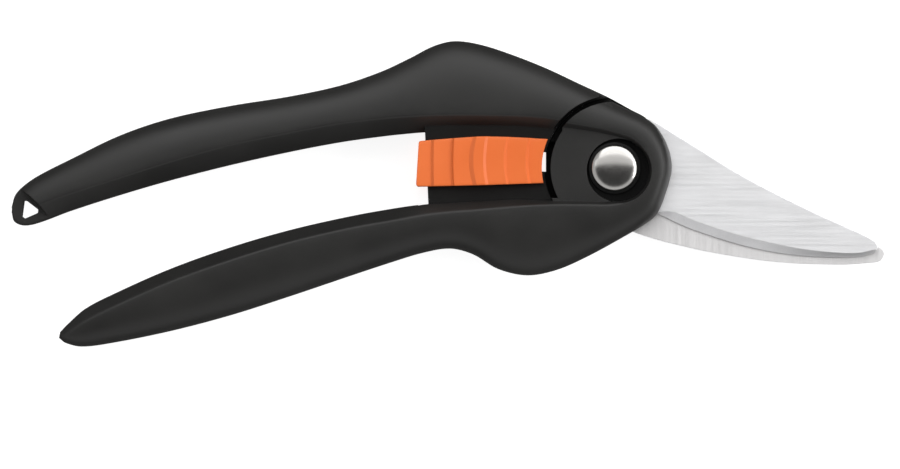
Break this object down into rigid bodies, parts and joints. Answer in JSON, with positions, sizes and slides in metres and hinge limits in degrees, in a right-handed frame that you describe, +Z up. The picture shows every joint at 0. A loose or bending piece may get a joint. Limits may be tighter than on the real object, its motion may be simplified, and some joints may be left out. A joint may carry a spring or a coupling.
{
  "type": "bypass pruner",
  "caption": "One-hand bypass snip: two crossing black handles, overlapping steel blades, a riveted pivot, a hidden opening spring and an orange slide lock.",
  "frame": {"origin": "on the pivot's axis, at the flat rear end of the rivet, level with the surface that the closed tool lies on", "axes": "+X from the pivot to the blade tips, +Y to the upper handle, +Z up through the thickness, out of the front face"},
  "size_m": [0.2102, 0.0736, 0.016],
  "materials": {
    "black_plastic": "fine satin moulding texture",
    "blade_steel": "fine ground, lightly brushed",
    "polished_steel": "polished",
    "dark_steel": "black oxide, satin",
    "spring_steel": "drawn wire and strip",
    "orange_plastic": "satin",
    "bushing_plastic": "natural acetal"
  },
  "bodies": {
    "lower_half": {"lower_handle": "black_plastic", "front_blade": "blade_steel", "pivot_rivet": "polished_steel", "pivot_collar": "polished_steel", "front_washer": "dark_steel", "rear_washer": "dark_steel", "pivot_bushing": "bushing_plastic", "opening_spring": "spring_steel", "latch_catch_pin": "spring_steel"},
    "upper_half": {"upper_handle": "black_plastic", "rear_blade": "blade_steel"},
    "lock": {"lock_slider_front": "orange_plastic", "lock_slider_rear": "orange_plastic", "lock_latch": "spring_steel", "lock_friction_spring": "spring_steel"}
  },
  "joints": [
    {"name": "handle_pivot", "type": "hinge", "parent": "lower_half", "child": "upper_half", "pos_m": [0, 0, 0.008], "axis": [0, 0, -1], "range_deg": [0, 30], "deforming": ["opening_spring"]},
    {"name": "lock_slide", "type": "slide", "parent": "upper_half", "child": "lock", "axis": [-1, 0, 0], "range_m": [0, 0.0045]}
  ]
}
